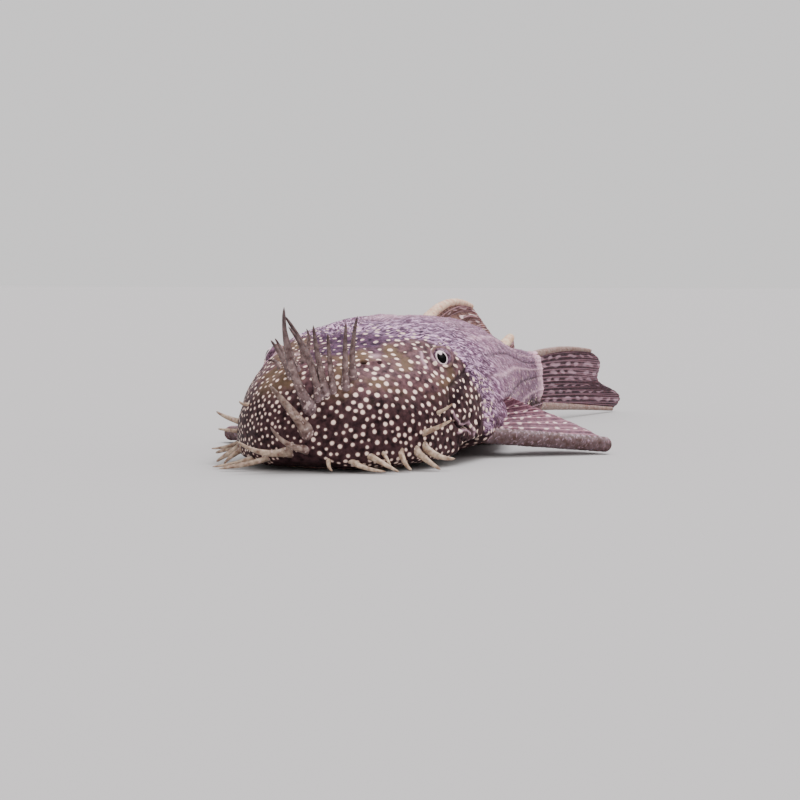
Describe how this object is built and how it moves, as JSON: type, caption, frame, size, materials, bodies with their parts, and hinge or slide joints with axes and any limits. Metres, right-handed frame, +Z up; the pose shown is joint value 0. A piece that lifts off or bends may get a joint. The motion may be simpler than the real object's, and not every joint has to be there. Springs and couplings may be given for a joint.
{
  "type": "bristlenose pleco",
  "caption": "Life-size still model of a bristlenose pleco: an armoured sucker-mouthed catfish with a fringe of snout tentacles, resting on its belly with its fins half folded.",
  "frame": {"origin": "on the floor under the middle of the flat belly, where the fish rests", "axes": "+Z up, head towards -X and tail towards +X, the fish's left side towards -Y"},
  "size_m": [0.1399, 0.0632, 0.0226],
  "materials": {
    "armour": "matt bony plates under thin skin, mauve-brown",
    "snout_skin": "moist dark skin with cream spots",
    "fin_skin": "thin translucent web with spotted rays",
    "lip_skin": "soft pinkish grey lip, finely papillose",
    "eye": "wet and glossy"
  },
  "bodies": {
    "root": {"head": "snout_skin", "trunk": "armour", "tail_stalk": "armour", "sucker_mouth": "lip_skin", "eye_left": "eye", "eye_right": "eye", "pectoral_fin_left": "fin_skin", "pectoral_fin_right": "fin_skin", "pelvic_fin_left": "fin_skin", "pelvic_fin_right": "fin_skin", "dorsal_fin": "fin_skin", "adipose_fin": "fin_skin", "anal_fin": "fin_skin", "tail_fin": "fin_skin"}
  },
  "joints": []
}
